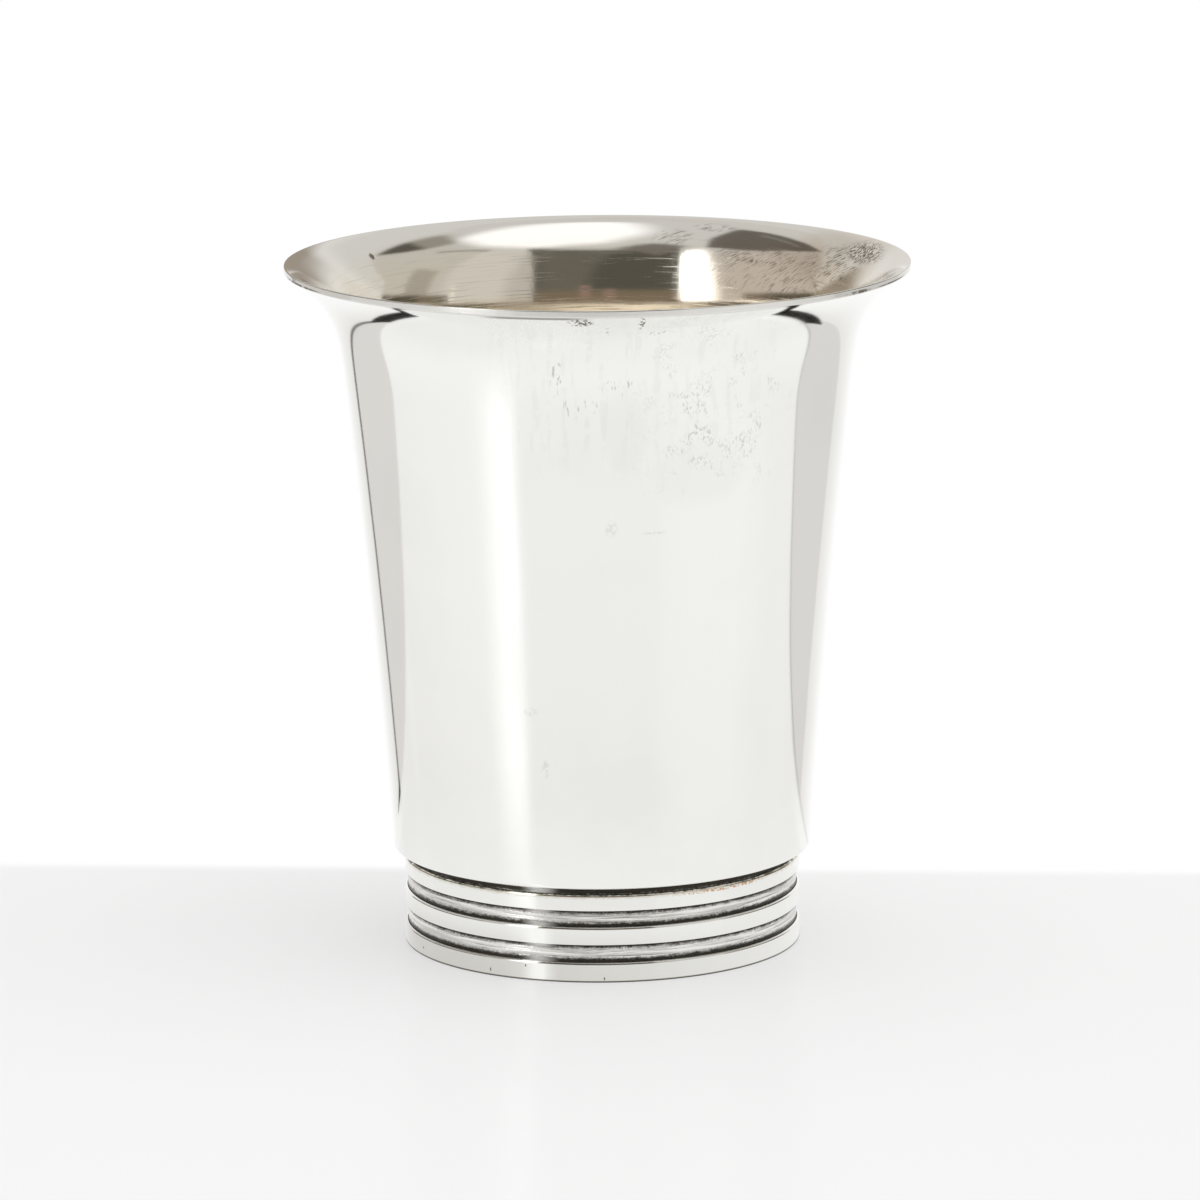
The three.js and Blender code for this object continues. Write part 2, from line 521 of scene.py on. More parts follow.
@dataclass(frozen=True)
class BandSilver:
    """Polished flat bands, with pits, an upper edge below the cup dark with tarnish and painted shade, a
    painted contact shadow along the table, painted shade towards the bottom and the left, and a painted
    highlight where the strip light's reflection crosses them.

    Heights are in millimetres, and angles in degrees.
    """

    top: float
    fresh: Colour = (0.94, 0.94, 0.91)
    # The dull colour paints shade on the bands, towards the bottom and the left.
    dull: Colour = (0.70, 0.69, 0.65)
    # This dark colour paints real pits, and painted shade under the cup and along the table.
    stain: Colour = (0.10, 0.09, 0.07)
    residue: Colour = (0.62, 0.56, 0.42)
    solder_stain: Colour = (0.55, 0.27, 0.11)
    polish: float = 0.07
    relief_depth: float = 0.015
    edge_tarnish_and_shade_depth: float = 0.25
    trace_depths: Span = (0.75, 0.3)
    contact_shade: Span = (0.34, 0.16)
    shade_heights: Span = (9.5, 2.0)
    shade_angles: Span = (90.0, -50.0)
    strip_highlight: Window = (-22.0, -15.0, 3.0)
    soldered: Window = (24.0, 52.0, 5.0)
    pits: Marks = (
        Mark(-64.3, 1.3, 0.2, 0.25), Mark(-34.0, 0.9, 0.15, 0.35), Mark(-22.6, 2.1, 0.15, 0.25),
        Mark(0.4, 0.6, 0.15, 0.3))

    def make(self) -> Material:
        """Write the material.

        Returns:
            The finished material.
        """
        sheet = SilverSheet(Slot.BAND)
        height, angle = sheet.height, sheet.angle
        low, high = (self.top - depth for depth in self.trace_depths)
        ragged = sheet.noise(1.1, 5.0, (1.0, 1.0, 1.5), roughness=0.7)
        ridge = height + 1.1 * (ragged - 0.5)
        # The upper band's top edge under the cup is dark with tarnish and painted shade.
        edge_tarnish_and_shade = ridge.smooth(self.top - self.edge_tarnish_and_shade_depth, self.top)
        pits = sheet.most(sheet.marks(self.pits), sheet.specks(6.0, 0.16, 0.14))
        # The dark line at the foot's bottom edge is a painted contact shadow.
        dark = sheet.most(0.9 * edge_tarnish_and_shade, 0.8 * pits, 0.95 * height.smooth(*self.contact_shade))
        # Painted shade: the bands are darker towards the bottom and the left.
        dulled = height.smooth(*self.shade_heights) * angle.smooth(*self.shade_angles)
        # Painted highlight: no shade where the strip light's reflection crosses the bands.
        dulled = dulled * (1 - 0.9 * angle.window(*self.strip_highlight))
        soldered = angle.window(*self.soldered) * height.window(low, high, 0.12)
        orange = soldered * sheet.noise(0.6, 4.0, (1.3, 1.3, 1.8), shift=2.0).smooth(0.48, 0.6)
        colour = sheet.coats(
            self.fresh, (dulled, self.dull), (0.5 * ridge.smooth(low, high), self.residue),
            (dark, self.stain), (0.85 * orange, self.solder_stain))
        roughness = self.polish + 0.04 * sheet.noise(6.0, detail=3.0) + 0.25 * dark
        return sheet.shade(colour, roughness, sheet.noise(9.0) - 0.6 * pits, self.relief_depth)


@dataclass(frozen=True)
class CollarSilver:
    """The collar: grey streaks between dark corners in the grooves, which are tarnish and painted shade,
    and a clouded inner face.

    Heights are in millimetres, and angles in degrees.
    """

    grooves: tuple[Span, ...]
    worn: Colour = (0.93, 0.92, 0.89)
    dull: Colour = (0.60, 0.59, 0.56)
    # The dark groove corners are tarnish and painted shade.
    tarnish: Colour = (0.045, 0.04, 0.032)
    clean: Colour = (0.82, 0.80, 0.76)
    clouded: Colour = (0.55, 0.52, 0.47)
    lower_corner: float = 0.66
    upper_corner: float = 0.5
    corner_fade: float = 0.3
    strip_highlight: Window = (-22.0, -15.0, 3.0)
    roughness: float = 0.16
    relief_depth: float = 0.03

    def make(self) -> Material:
        """Write the material.

        Returns:
            The finished material.
        """
        sheet = SilverSheet(Slot.COLLAR)
        ragged = sheet.noise(1.4, 5.0, (1.0, 1.0, 2.5), roughness=0.65)
        grain = sheet.noise(0.3)
        height = sheet.height + 0.7 * (ragged - 0.5) + 0.5 * (grain - 0.5)
        middle: Number = 0.0
        for low, high in self.grooves:
            low, high = low + self.lower_corner, high - self.upper_corner
            middle = middle + height.window(low, high, self.corner_fade)
        # Painted highlight: the grooves are lighter where the strip light's reflection crosses them.
        middle = sheet.most(middle, 0.6 * sheet.angle.window(*self.strip_highlight))
        streaks = sheet.noise(1.1, 4.0, (0.12, 0.12, 3.0)).smooth(0.35, 0.65)
        inside = sheet.facing_in()
        clouds = sheet.noise(5.0, 5.0, roughness=0.6).smooth(0.4, 0.62)
        # Outside each groove's middle the collar is dark with tarnish and painted shade.
        colour = sheet.blend(middle, self.tarnish, sheet.blend(streaks, self.dull, self.worn))
        colour = sheet.blend(inside, colour, sheet.blend(clouds, self.clean, self.clouded))
        roughness = self.roughness + 0.15 * (1 - middle) + 0.08 * streaks + 0.1 * inside
        return sheet.shade(colour, roughness, streaks, self.relief_depth)


@dataclass(frozen=True)
class SolderSilver:
    """Silver solder as it set: yellowish, uneven and duller than the sheet."""

    clean: Colour = (0.78, 0.71, 0.58)
    burnt: Colour = (0.30, 0.25, 0.19)
    roughness: float = 0.28
    relief_depth: float = 0.08

    def make(self) -> Material:
        """Write the material.

        Returns:
            The finished material.
        """
        sheet = SilverSheet(Slot.SOLDER)
        lumps = sheet.noise(2.4, detail=3.0)
        burnt = sheet.noise(3.5, detail=5.0, roughness=0.6, shift=5.0).smooth(0.48, 0.66)
        colour = sheet.blend(burnt, self.clean, self.burnt)
        return sheet.shade(colour, self.roughness + 0.2 * burnt, lumps, self.relief_depth)


def add_object(name: str, data: bpy.types.ID) -> Object:
    """Put a new object into the scene.

    Args:
        name: its name.
        data: its mesh, camera or lamp.

    Returns:
        The object.
    """
    made = bpy.data.objects.new(name, data)
    bpy.context.scene.collection.objects.link(made)
    return made


def looking(place: Vector, aim: Vector) -> Matrix:
    """The matrix of a camera or a lamp that stands at a place and looks at another."""
    return Matrix.Translation(place) @ (aim - place).to_track_quat("-Z", "Y").to_matrix().to_4x4()


@dataclass(frozen=True)
class Corner:
    """A point of an outline, with the radius that its corner is rounded to. Millimetres."""

    radius: float
    height: float
    rounding: float = 0.0

    @property
    def point(self) -> Vector:
        """The point as a vector: radius, height."""
        return Vector((self.radius, self.height))


@dataclass
class Lathe:
    """Turns outlines into closed pieces about the beaker's axis, with Geometry Nodes."""

    facets: int = 288
    corner_steps: int = 6
    support: float = 0.35
    weld: float = 1e-6
    ripple_size: float = 16 * MM
    seed: float = 7.0
    tree: bpy.types.GeometryNodeTree = field(init=False)

    def __post_init__(self) -> None:
        """Write the node tree once, for all pieces."""
        self.tree = bpy.data.node_groups.new("turned_piece", "GeometryNodeTree")
        for name, kind in (("Outline", "Geometry"), ("Facets", "Int"), ("Ripple", "Float"),
                           ("Ripple Size", "Float"), ("Seed", "Float"), ("Finish", "Material")):
            self.tree.interface.new_socket(name, in_out="INPUT", socket_type=f"NodeSocket{kind}")
        self.tree.interface.new_socket("Piece", in_out="OUTPUT", socket_type="NodeSocketGeometry")
        sheet = NodeSheet(self.tree)
        given = sheet.wire("NodeGroupInput")
        outline, facets = given.output("Outline"), given.output("Facets")
        columns = facets + 1
        count = sheet.wire("GeometryNodeAttributeDomainSize", {"component": "MESH"}, {"Geometry": outline})
        grid = sheet.wire("GeometryNodeMeshGrid", {}, {"Vertices X": count, "Vertices Y": columns})
        index = sheet.wire("GeometryNodeInputIndex")
        row = sheet.math("FLOOR", index / columns)
        place = sheet.wire("GeometryNodeInputPosition")
        point = sheet.wire("GeometryNodeSampleIndex", {"data_type": "FLOAT_VECTOR"},
                           {"Geometry": outline, "Value": place, "Index": row})
        turn = (index - row * columns) * -math.tau / facets
        turned = sheet.wire("ShaderNodeVectorRotate", {"rotation_type": "Z_AXIS"},
                            {"Vector": point, "Angle": turn})
        piece = sheet.wire("GeometryNodeSetPosition", {}, {"Geometry": grid, "Position": turned})
        piece = sheet.wire("GeometryNodeMergeByDistance", {}, {"Geometry": piece, "Distance": self.weld})
        scale = 1 / given.output("Ripple Size")
        ripple = sheet.wire("ShaderNodeTexNoise", {"noise_dimensions": "4D"}, {
            "Vector": place, "W": given.output("Seed"), "Scale": scale, "Detail": 1.0})
        inwards = sheet.wire("ShaderNodeVectorMath", {"operation": "SCALE"}, {
            0: sheet.wire("GeometryNodeInputNormal"), "Scale": -ripple * given.output("Ripple")})
        piece = sheet.wire("GeometryNodeSetPosition", {}, {"Geometry": piece, "Offset": inwards})
        piece = sheet.wire("GeometryNodeSetShadeSmooth", {}, {"Geometry": piece})
        piece = sheet.wire("GeometryNodeRealizeInstances", {}, {"Geometry": piece})
        finish = given.output("Finish")
        piece = sheet.wire("GeometryNodeSetMaterial", {}, {"Geometry": piece, "Material": finish})
        sheet.node("NodeGroupOutput", {}, {"Piece": piece})

    def _round(self, before: Vector, corner: Corner, after: Vector) -> list[Vector]:
        """Round one corner of an outline.

        Args:
            before: the point that the outline comes from.
            corner: the corner and its radius.
            after: the point that the outline goes to.

        Returns:
            The points of the arc, with one more on each long side, which keeps that side's shading flat.
        """
        to_before = before - corner.point
        to_after = after - corner.point
        back, onwards = to_before.normalized(), to_after.normalized()
        half = to_before.angle(to_after) / 2
        reach = corner.rounding / math.tan(half)
        centre = corner.point + (back + onwards).normalized() * (corner.rounding / math.sin(half))
        start = corner.point + back * reach - centre
        sweep = (math.pi - 2 * half) * math.copysign(1.0, to_after.cross(to_before))
        arc = []
        for step in range(self.corner_steps + 1):
            turn = Matrix.Rotation(sweep * step / self.corner_steps, 2)
            arc.append(centre + turn @ start)
        spare = reach + self.support * corner.rounding
        if to_before.length > 2 * spare:
            arc.insert(0, corner.point + back * spare)
        if to_after.length > 2 * spare:
            arc.append(corner.point + onwards * spare)
        return arc

    def _walk(self, corners: list[Corner]) -> list[Vector]:
        """Walk along an outline and round its corners.

        Args:
            corners: the outline. One that doesn't start on the axis is a closed loop.

        Returns:
            The points of the rounded outline.
        """
        points = []
        for place, corner in enumerate(corners):
            if corner.rounding:
                before = corners[place - 1].point
                after = corners[(place + 1) % len(corners)].point
                points += self._round(before, corner, after)
            else:
                points.append(corner.point)
        closed = corners[0].radius > 0
        return points + points[:1] if closed else points

    def turn(self, name: str, corners: list[Corner], finish: Material, ripple: float) -> Object:
        """Turn a piece.

        Args:
            name: the piece's name.
            corners: its outline in millimetres, from the axis or round a loop, with the metal on its left.
            finish: its material.
            ripple: how deep the unevenness of its faces is, in millimetres.

        Returns:
            The piece, a plain mesh at the origin.
        """
        points = [(point.x * MM, 0.0, point.y * MM) for point in self._walk(corners)]
        outline = bpy.data.meshes.new(f"{name}_outline")
        outline.from_pydata(points, [(step, step + 1) for step in range(len(points) - 1)], [])
        piece = add_object(name, outline)
        modifier = piece.modifiers.new("Turn", "NODES")
        modifier.node_group = self.tree
        given = {"Facets": self.facets, "Ripple": ripple * MM, "Ripple Size": self.ripple_size,
                 "Seed": self.seed, "Finish": finish}
        for item in self.tree.interface.items_tree:
            if item.name in given:
                modifier[item.identifier] = given[item.name]
        evaluated = piece.evaluated_get(bpy.context.evaluated_depsgraph_get())
        mesh = bpy.data.meshes.new_from_object(evaluated)
        mesh.name = name
        piece.modifiers.clear()
        piece.data = mesh
        bpy.data.meshes.remove(outline)
        log.info("%s: %d faces", name, len(mesh.polygons))
        return piece


def place_piece(piece: Object, node: Node) -> None:
    """Let a piece stand for its node and ride on the beaker.

    Args:
        piece: the finely turned piece.
        node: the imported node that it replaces.
    """
    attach(piece, "root")
    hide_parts(node.value)


@dataclass
class BeakerBody:
    """The cup: wall, flared lip and floor in one piece of sheet. Millimetres."""

    foot_radius: float = 30.4
    wall_top_radius: float = 38.5
    wall_hollow: float = 0.6
    lip_reach: float = 6.72
    lip_lean: float = math.radians(60)
    flare_height: float = 19.0
    sheet: float = 0.9
    lip_gain: float = 0.15
    gain_start: float = 0.31
    gain_length: float = 0.3
    lip_edge_round: float = 0.15
    lip_edge_set: float = -0.04
    lip_top_spare: float = 0.06
    lower_edge_round: float = 0.5
    floor_corner_round: float = 2.5
    wall_steps: int = 36
    flare_steps: int = 44
    ripple: float = 0.02
    finish: BodySilver = BodySilver()

    def __post_init__(self) -> None:
        """Take the heights from the frame, and work out the wall's curve."""
        low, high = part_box(Node.BODY.value)
        self.bottom = low.z / MM
        self.top = high.z / MM
        lip_height = (self.sheet + self.lip_gain) * math.sin(self.lip_lean)
        self.lip_underside = self.top - self.bottom - lip_height
        self.flare_start = self.lip_underside - self.flare_height
        self.taper = (self.wall_top_radius - self.foot_radius) / self.lip_underside
        self.bend = 4 * self.wall_hollow / self.lip_underside
        steepest = math.tan(self.lip_lean) - self.taper - self.bend
        self.flare_power = steepest * self.flare_height / self.lip_reach

    def _flare(self, level: float) -> float:
        """How far up the flare a level lies: 0 at its start and below, 1 at the lip."""
        return max(0.0, (level - self.flare_start) / self.flare_height)

    def _outer(self, level: float) -> Corner:
        """Find the wall's outer face.

        Args:
            level: a height above the floor's underside.

        Returns:
            The point of the face at that level.
        """
        rise = level / self.lip_underside
        hollow = 4 * self.wall_hollow * rise * (1 - rise)
        flare = self.lip_reach * self._flare(level) ** self.flare_power
        return Corner(self.foot_radius + self.taper * level - hollow + flare, self.bottom + level)

    def _inner(self, level: float) -> Corner:
        """Find the wall's inner face, square across the sheet, which is a little thicker in the flare.

        Args:
            level: the height of the outer face's point above the floor's underside.

        Returns:
            The point of the inner face across from it.
        """
        outer = self._outer(level)
        share = self._flare(level)
        steepness = self.lip_reach * self.flare_power / self.flare_height
        flare_slope = steepness * share ** (self.flare_power - 1)
        lean = math.atan(self.taper - self.bend * (1 - 2 * level / self.lip_underside) + flare_slope)
        grown = min(1.0, max(0.0, (share - self.gain_start) / self.gain_length))
        thickness = self.sheet + self.lip_gain * grown ** 2 * (3 - 2 * grown)
        return Corner(outer.radius - thickness * math.cos(lean), outer.height + thickness * math.sin(lean))

    def _lip(self) -> list[Corner]:
        """Find the lip's edge, which is filed nearly upright.

        Returns:
            Its lower and its upper corner.
        """
        low = self._outer(self.lip_underside)
        loss = self.lip_edge_round * (1 / math.tan(self.lip_lean / 2) - 1)
        high = self.top + loss - self.lip_top_spare
        return [
            Corner(low.radius, low.height, self.lip_edge_round),
            Corner(low.radius - self.lip_edge_set, high, self.lip_edge_round),
        ]

    def _outline(self) -> list[Corner]:
        """Draw the cup's outline.

        Returns:
            The underside, the outer wall, the edge of the lip, the inner wall and the floor's upper face.
        """
        wall = [self.flare_start * step / self.wall_steps for step in range(2, self.wall_steps)]
        rises = [self.flare_height * step / self.flare_steps for step in range(self.flare_steps)]
        levels = wall + [self.flare_start + rise for rise in rises]
        floor = self.bottom + self.sheet
        return [
            Corner(0.0, self.bottom),
            Corner(self.foot_radius, self.bottom, self.lower_edge_round),
            *map(self._outer, levels),
            *self._lip(),
            *map(self._inner, reversed(levels)),
            Corner(self._inner(self.sheet).radius, floor, self.floor_corner_round),
            Corner(0.0, floor),
        ]

    def build(self, lathe: Lathe) -> None:
        """Turn and dress the cup."""
        piece = lathe.turn("silver_body", self._outline(), self.finish.make(), self.ripple)
        place_piece(piece, Node.BODY)


@dataclass
class BandedFoot:
    """The foot: a collar under the cup, three flat bands round it and the solder inside. Millimetres."""

    collar_thickness: float = 1.2
    band_thickness: float = 0.35
    fillet_leg: float = 0.9
    upper_edge_round: float = 0.33
    lower_edge_round: float = 0.12
    hidden_edge_round: float = 0.05
    neck_light: Span = (-1.0, 0.4)
    fillet_steps: int = 10
    ripple: float = 0.01

    def _span(self, node: Node) -> tuple[float, float, float]:
        """A node's outer radius, bottom and top."""
        low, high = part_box(node.value)
        return high.x / MM, low.z / MM, high.z / MM

    def _tube(self, node: Node, thickness: float, lower_round: float, upper_round: float) -> list[Corner]:
        """The outline of a short tube that fills a node.

        Args:
            node: the node whose radius and heights it takes.
            thickness: of its wall.
            lower_round: the rounding of its lower outer edge.
            upper_round: the rounding of its upper outer edge.

        Returns:
            The outline, round a loop.
        """
        outer, bottom, top = self._span(node)
        return [
            Corner(outer - thickness, bottom, self.hidden_edge_round),
            Corner(outer, bottom, lower_round),
            Corner(outer, top, upper_round),
            Corner(outer - thickness, top, self.hidden_edge_round),
        ]

    def _fillet(self) -> list[Corner]:
        """Draw the hollow-faced bead of solder between the collar and the floor.

        Returns:
            Its outline, round a loop.
        """
        outer, _, top = self._span(Node.FILLET)
        face = []
        for step in range(self.fillet_steps + 1):
            angle = math.pi / 2 * step / self.fillet_steps
            drop = self.fillet_leg * (1 - math.cos(angle))
            face.append(Corner(outer - self.fillet_leg * (1 - math.sin(angle)), top - drop))
        return [*face, Corner(outer, top, self.hidden_edge_round)]

    def _build_collar(self, lathe: Lathe) -> None:
        """Turn and dress the collar, with its dark corners of tarnish and painted shade where the bands
        end.

        Args:
            lathe: turns the piece.
        """
        _, _, base_top = self._span(Node.BASE_BAND)
        _, middle_bottom, middle_top = self._span(Node.MIDDLE_BAND)
        _, upper_bottom, upper_top = self._span(Node.UPPER_BAND)
        neck_low, neck_high = self.neck_light
        finish = CollarSilver(grooves=(
            (base_top, middle_bottom), (middle_top, upper_bottom),
            (upper_top + neck_low, upper_top + neck_high)))
        edge_round = self.hidden_edge_round
        outline = self._tube(Node.COLLAR, self.collar_thickness, edge_round, edge_round)
        piece = lathe.turn("collar_tube", outline, finish.make(), self.ripple)
        place_piece(piece, Node.COLLAR)

    def _build_bands(self, lathe: Lathe) -> None:
        """Turn and dress the three bands.

        Args:
            lathe: turns the pieces.
        """
        _, _, top = self._span(Node.UPPER_BAND)
        finish = BandSilver(top).make()
        for name, node in (("upper_ring", Node.UPPER_BAND), ("middle_ring", Node.MIDDLE_BAND),
                           ("base_ring", Node.BASE_BAND)):
            outline = self._tube(node, self.band_thickness, self.lower_edge_round, self.upper_edge_round)
            place_piece(lathe.turn(name, outline, finish, self.ripple), node)

    def build(self, lathe: Lathe) -> None:
        """Turn and dress the collar, the bands and the solder.

        Args:
            lathe: turns the pieces.
        """
        self._build_collar(lathe)
        self._build_bands(lathe)
        bead = lathe.turn("solder_bead", self._fillet(), SolderSilver().make(), self.ripple)
        place_piece(bead, Node.FILLET)


@dataclass(frozen=True)
class RoomPatch:
    """A soft-edged patch of the room that the silver mirrors.

    Azimuths are in degrees, 0 towards the camera and positive to the right. Heights are in degrees above
    level. A patch with a bow grows wider with height.
    """

    azimuths: Span
    heights: Span
    tone: Colour
    soft: float = 5.0
    bow: float = 0.0


@dataclass(frozen=True)
class CeilingPatch:
    """A soft-edged patch of the ceiling that the silver mirrors, in shares of the ceiling's height.

    Its corners are places to the right and towards the camera. They go round it anticlockwise, seen with
    right and towards as the two axes of a graph, and none of them points inwards.
    """

    corners: tuple[Span, ...]
    tone: Colour
    soft: float = 0.03


@dataclass
class Studio:
    """A pale table with its back edge behind the beaker, a card, a room of soft greys and the camera."""

    camera_place: Triple = (0.0, -1.0314, 0.2599)
    camera_aim: Triple = (0.0, 0.0, 0.05004)
    camera_roll: float = math.radians(-0.468)
    lens: float = 216.8
    table_reach: float = 1.5
    table_back: float = 0.054
    table_skew: float = -0.038
    white_from: float = 0.0384
    white_skew: float = -0.065
    white_fade: Span = (-0.002, 0.004)
    rim_fade: Span = (-0.006, -0.001)
    rim_start: Span = (0.0, 0.03)
    table_colour: Colour = (0.9, 0.9, 0.9)
    table_rim: Colour = (0.45, 0.44, 0.42)
    table_tone: Colour = (0.925, 0.925, 0.925)
    table_roughness: float = 0.2
    satin_index: float = 1.05
    glossy_index: float = 1.2
    table_veil: float = 0.45
    near_veil: float = 0.8
    near_fade: Span = (0.125, 0.05)
    # A white stripe on the table that only the silver sees: a painted reflection of the strip light.
    strip_reflection: Window = (-21.5, -15.5, 2.0)
    strip_reflection_fade: Span = (0.08, 0.06)
    far_strip_reflection: Window = (-23.0, -19.5, 1.5)
    far_strip_reflection_reach: Window = (0.125, 0.165, 0.02)
    far_strip_reflection_share: float = 0.4
    foot_radius: float = 0.0289
    card_sides: Span = (-0.112, 0.121)
    card_lows: Span = (-0.011, -0.022)
    card_top: float = 0.172
    card_place: float = 0.096
    card_shaded: Colour = (0.82, 0.81, 0.80)
    card_head: Colour = (0.66, 0.65, 0.63)
    card_left_band: Colour = (0.34, 0.30, 0.25)
    card_right_band: Colour = (0.74, 0.72, 0.69)
    card_edge: Colour = (0.17, 0.16, 0.15)
    card_left_fade: Span = (0.0, 0.07)
    card_right_fade: Span = (0.01, -0.08)
    card_edge_fade: Span = (0.0085, 0.0055)
    card_head_fade: Span = (0.11, 0.155)
    card_band: Window = (0.102, 0.135, 0.006)
    card_left_half: Span = (0.02, -0.03)
    card_right_half: Span = (-0.02, 0.03)
    # A dark sheet below the card is painted shadow, seen only in the silver.
    shadow_sheet_bottom: float = -0.12
    shadow_sheet_right: float = 0.135
    shadow_sheet_tone: tuple[float, ...] = (0.015, 0.014, 0.012, 1.0)
    ambient: Colour = (0.925, 0.925, 0.925)
    sun_strength: float = 0.5
    sun_width: float = math.radians(60)
    sun_from: Triple = (0.55, -0.2, 0.85)
    walls: Colour = (0.53, 0.50, 0.48)
    patches: tuple[RoomPatch, ...] = (
        RoomPatch((30, 80), (-5, 62), (0.64, 0.62, 0.59)),
        RoomPatch((30, 44), (-5, 62), (0.52, 0.50, 0.47)),
        RoomPatch((80, 135), (-5, 62), (0.56, 0.54, 0.50)),
        RoomPatch((135, 200), (-5, 62), (0.66, 0.65, 0.63)),
        RoomPatch((-200, -135), (-5, 62), (0.62, 0.60, 0.57)),
        RoomPatch((140, 200), (-5, 22), (0.84, 0.84, 0.83)),
        RoomPatch((-200, -140), (-5, 22), (0.80, 0.80, 0.79)),
        RoomPatch((-200, -100), (-90, -5), (0.72, 0.70, 0.685), 4),
        RoomPatch((100, 200), (-90, -5), (0.70, 0.69, 0.68), 4),
        RoomPatch((-200, 200), (61, 100), (0.62, 0.61, 0.59), 4),
        RoomPatch((86, 101), (-5, 38), (0.40, 0.37, 0.33), 2),
        RoomPatch((118, 150), (-6, 8), (0.36, 0.31, 0.25), 3),
        RoomPatch((-160, -121), (-6, 15.5), (0.33, 0.29, 0.24), 2),
        RoomPatch((124.5, 126.5), (13, 31), (0.30, 0.28, 0.25), 0.6),
        RoomPatch((-143, -141.5), (14, 36), (0.20, 0.18, 0.15), 0.6),
        RoomPatch((74, 132), (-6, 14.5), (0.19, 0.16, 0.12), 2),
        RoomPatch((92, 120), (-6, 14.5), (0.08, 0.07, 0.05), 3),
        RoomPatch((-121, -72), (-6, 14), (0.19, 0.16, 0.12), 2),
        RoomPatch((-118, -84), (-6, 14), (0.09, 0.08, 0.06), 3),
        RoomPatch((70.3, 72.7), (9, 24), (0.85, 0.82, 0.76), 1.2),
        RoomPatch((-120, -117.5), (9, 19), (1.05, 1.0, 0.92), 1.2),
        RoomPatch((-42, 30), (-5, 67), (0.09, 0.085, 0.07), 2, 4.5),
        RoomPatch((5, 27), (-5, 67), (0.14, 0.13, 0.11), 6, 4.5),
        RoomPatch((-40, 29), (-5, 16), (0.19, 0.155, 0.11), 3),
        RoomPatch((3.5, 8.5), (10, 21), (0.28, 0.20, 0.165), 1),
        RoomPatch((-8.5, -3), (9, 17), (0.28, 0.20, 0.165), 1),
    )
    strip: Colour = (3.2, 3.2, 3.2)
    strip_left: Span = (-62.0, -44.5)
    strip_right: Span = (-37.0, -41.5)
    strip_bow: float = 6.5
    strip_heights: Window = (0.0, 60.0, 4.0)
    ceiling_fade: Span = (0.4, 0.6)
    least_rise: float = 0.2
    pole_spare: float = 0.001
    ceiling: tuple[CeilingPatch, ...] = (
        CeilingPatch(
            ((-0.19, -0.05), (-0.10, -0.27), (0.10, -0.29), (0.47, -0.27), (0.49, 0.02), (0.30, 0.27),
             (-0.04, 0.24)), (1.15, 1.15, 1.15), 0.08),
        CeilingPatch(
            ((-0.42, 0.13), (-0.24, 0.17), (-0.10, 0.38), (-0.40, 0.50)), (0.18, 0.165, 0.15), 0.05),
        CeilingPatch(
            ((-0.52, 0.08), (-0.69, -0.07), (-0.78, -0.26), (-0.84, -0.55), (-0.88, -0.93), (-0.47, -0.52),
             (-0.385, -0.42), (-0.39, -0.30), (-0.42, -0.10)), (0.14, 0.125, 0.11), 0.02),
        CeilingPatch(
            ((-0.50, -0.43), (-0.76, -0.64), (-0.76, -0.67), (-0.50, -0.46)), (0.25, 0.235, 0.21), 0.01),
        CeilingPatch(
            ((0.72, -0.22), (0.75, -0.20), (0.55, 0.13), (0.515, 0.11)), (0.30, 0.28, 0.25), 0.012),
        CeilingPatch(
            ((0.44, -0.42), (0.87, -0.86), (0.84, -0.66), (0.77, -0.46), (0.65, -0.29), (0.52, -0.22)),
            (0.30, 0.28, 0.24), 0.04),
        CeilingPatch(
            ((0.60, -0.58), (0.88, -0.86), (0.85, -0.70), (0.78, -0.50), (0.68, -0.36)),
            (0.10, 0.09, 0.075), 0.04),
    )

    def _camera(self) -> None:
        """Set up the camera at the photograph's angle, with its slight tilt."""
        data = bpy.data.cameras.new("camera")
        data.lens = self.lens
        camera = add_object("camera", data)
        roll = Matrix.Rotation(self.camera_roll, 4, "Z")
        camera.matrix_world = looking(Vector(self.camera_place), Vector(self.camera_aim)) @ roll
        bpy.context.scene.camera = camera

    def _sheet(self, name: str, corners: list[Triple], material: Material) -> Object:
        """Make a flat stage piece.

        Args:
            name: its name.
            corners: its corners in order.
            material: its material.

        Returns:
            The piece.
        """
        mesh = bpy.data.meshes.new(name)
        mesh.from_pydata(corners, [], [range(len(corners))])
        mesh.materials.append(material)
        piece = add_object(name, mesh)
        return piece

    def _table_material(self) -> Material:
        """A pale table top, glossier in the silver, that fades into the white background along its back.
        In the silver it glows evenly near the foot, with a white stripe that is a painted reflection of
        the strip light.

        Returns:
            The material.
        """
        sheet = MaterialSheet("pale_table")
        across, behind, _ = sheet.axes(sheet.coordinates("Object"))
        past = (behind - self.white_skew * across - self.white_from).smooth(*self.white_fade)
        rim = (behind - self.table_skew * across - self.table_back).smooth(*self.rim_fade)
        colour = sheet.blend(rim * across.smooth(*self.rim_start), self.table_colour, self.table_rim)
        seen = sheet.wire("ShaderNodeLightPath")
        mirrored = seen.output("Is Glossy Ray")
        glossy, satin = (
            sheet.wire("ShaderNodeBsdfPrincipled", {}, {
                "Base Color": colour, "Roughness": self.table_roughness, "IOR": index})
            for index in (self.glossy_index, self.satin_index))
        top = sheet.wire("ShaderNodeMixShader", {}, {0: seen, 1: glossy, 2: satin})

        away = sheet.math("SQRT", across * across + behind * behind)
        foot_side = sheet.degrees("ARCTAN2", across, -behind) / (2 - self.foot_radius / away)
